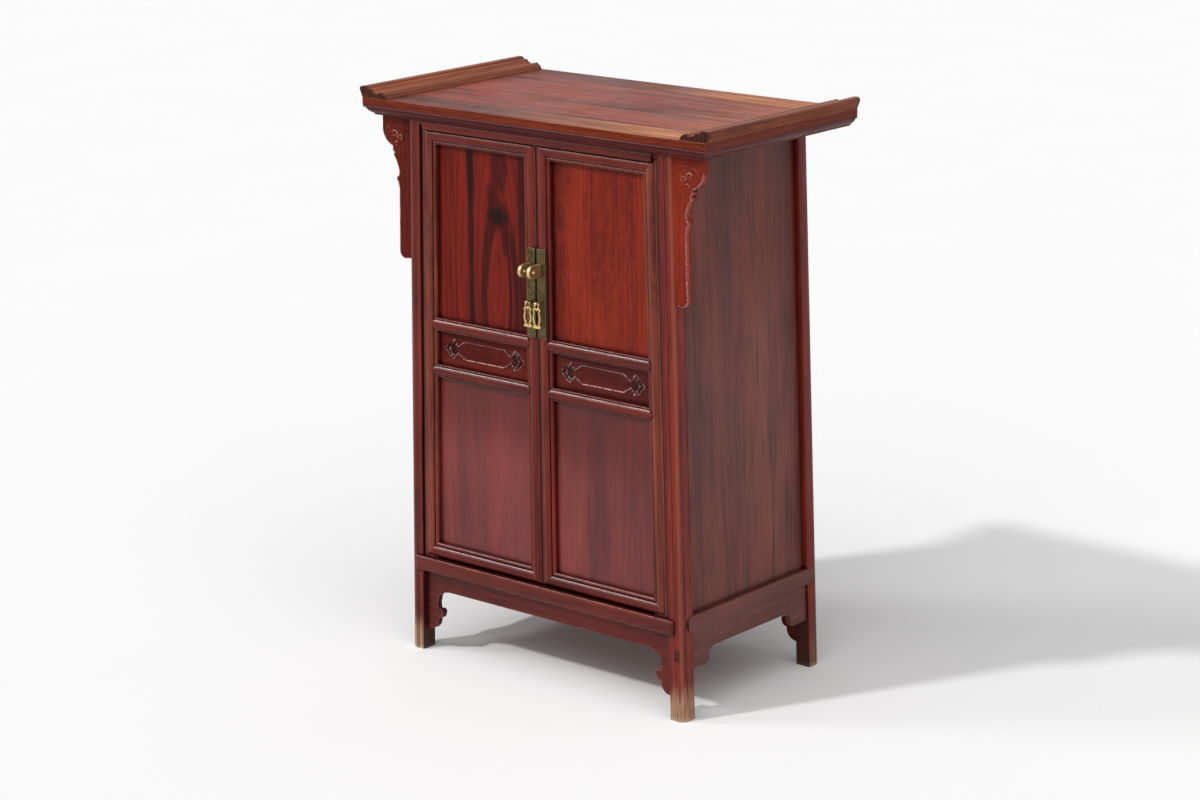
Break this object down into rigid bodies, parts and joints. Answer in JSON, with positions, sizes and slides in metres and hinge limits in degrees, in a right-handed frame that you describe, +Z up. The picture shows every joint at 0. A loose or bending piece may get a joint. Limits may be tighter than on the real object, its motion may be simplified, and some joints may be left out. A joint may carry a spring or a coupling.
{
  "type": "kang cabinet",
  "caption": "Tapered kang cabinet with everted top flanges, paired panelled doors on wooden pivots, carved spandrels, brass lock plates and swinging pulls.",
  "frame": {"origin": "bottom centre of the cabinet's outer box, on the floor", "axes": "+X to the right as seen from the front, -Y out of the front, +Z up"},
  "size_m": [0.686, 0.3738, 0.8998],
  "materials": {
    "frame_wood": "polished deep red-brown hardwood",
    "panel_wood": "polished figured red hardwood",
    "top_wood": "worn polished orange-red hardwood",
    "side_wood": "dull purple-brown hardwood",
    "brass_plate": "dull olive patinated brass",
    "brass_fitting": "golden handled brass"
  },
  "bodies": {
    "case": {"post_front_left": "frame_wood", "post_front_right": "frame_wood", "post_rear_left": "frame_wood", "post_rear_right": "frame_wood", "top_frame_front": "top_wood", "top_frame_rear": "top_wood", "top_frame_left": "top_wood", "top_frame_right": "top_wood", "top_panel": "top_wood", "top_batten": "side_wood", "flange_left": "top_wood", "flange_right": "top_wood", "spandrel_left": "frame_wood", "spandrel_right": "frame_wood", "top_rail_front": "frame_wood", "top_rail_rear": "frame_wood", "top_rail_left": "frame_wood", "top_rail_right": "frame_wood", "bottom_rail_front": "frame_wood", "bottom_rail_rear": "frame_wood", "bottom_rail_left": "frame_wood", "bottom_rail_right": "frame_wood", "apron_front": "frame_wood", "apron_rear": "frame_wood", "apron_left": "frame_wood", "apron_right": "frame_wood", "side_panel_left": "side_wood", "side_panel_right": "side_wood", "back_panel_upper": "side_wood", "back_panel_lower": "side_wood", "back_rail": "side_wood", "bottom_panel": "side_wood", "shelf": "side_wood", "shelf_bearers": "side_wood"},
    "left_door": {"left_door_outer_stile": "frame_wood", "left_door_meeting_stile": "frame_wood", "left_door_top_rail": "frame_wood", "left_door_upper_rail": "frame_wood", "left_door_lower_rail": "frame_wood", "left_door_bottom_rail": "frame_wood", "left_door_upper_panel": "panel_wood", "left_door_carved_panel": "panel_wood", "left_door_lower_panel": "panel_wood", "left_door_lock_plate": "brass_plate", "left_door_lock_tab": "brass_fitting", "left_door_pull_eye": "brass_fitting"},
    "right_door": {"right_door_outer_stile": "frame_wood", "right_door_meeting_stile": "frame_wood", "right_door_top_rail": "frame_wood", "right_door_upper_rail": "frame_wood", "right_door_lower_rail": "frame_wood", "right_door_bottom_rail": "frame_wood", "right_door_upper_panel": "panel_wood", "right_door_carved_panel": "panel_wood", "right_door_lower_panel": "panel_wood", "right_door_lock_plate": "brass_plate", "right_door_lock_tab": "brass_fitting", "right_door_pull_eye": "brass_fitting"},
    "left_pull": {"left_door_pull": "brass_fitting"},
    "right_pull": {"right_door_pull": "brass_fitting"}
  },
  "joints": [
    {"name": "left_door_hinge", "type": "hinge", "parent": "case", "child": "left_door", "pos_m": [-0.23552, -0.15273, 0.49995], "axis": [0.0238, 0.0062, 0.9997], "range_deg": [-95, 0]},
    {"name": "right_door_hinge", "type": "hinge", "parent": "case", "child": "right_door", "pos_m": [0.23552, -0.15273, 0.49995], "axis": [-0.0238, 0.0062, 0.9997], "range_deg": [0, 95]},
    {"name": "left_pull_swing", "type": "hinge", "parent": "left_door", "child": "left_pull", "pos_m": [-0.009, -0.16918, 0.60405], "axis": [-1, 0, 0], "range_deg": [-12, 180]},
    {"name": "right_pull_swing", "type": "hinge", "parent": "right_door", "child": "right_pull", "pos_m": [0.009, -0.16918, 0.60405], "axis": [-1, 0, 0], "range_deg": [-12, 180]}
  ]
}
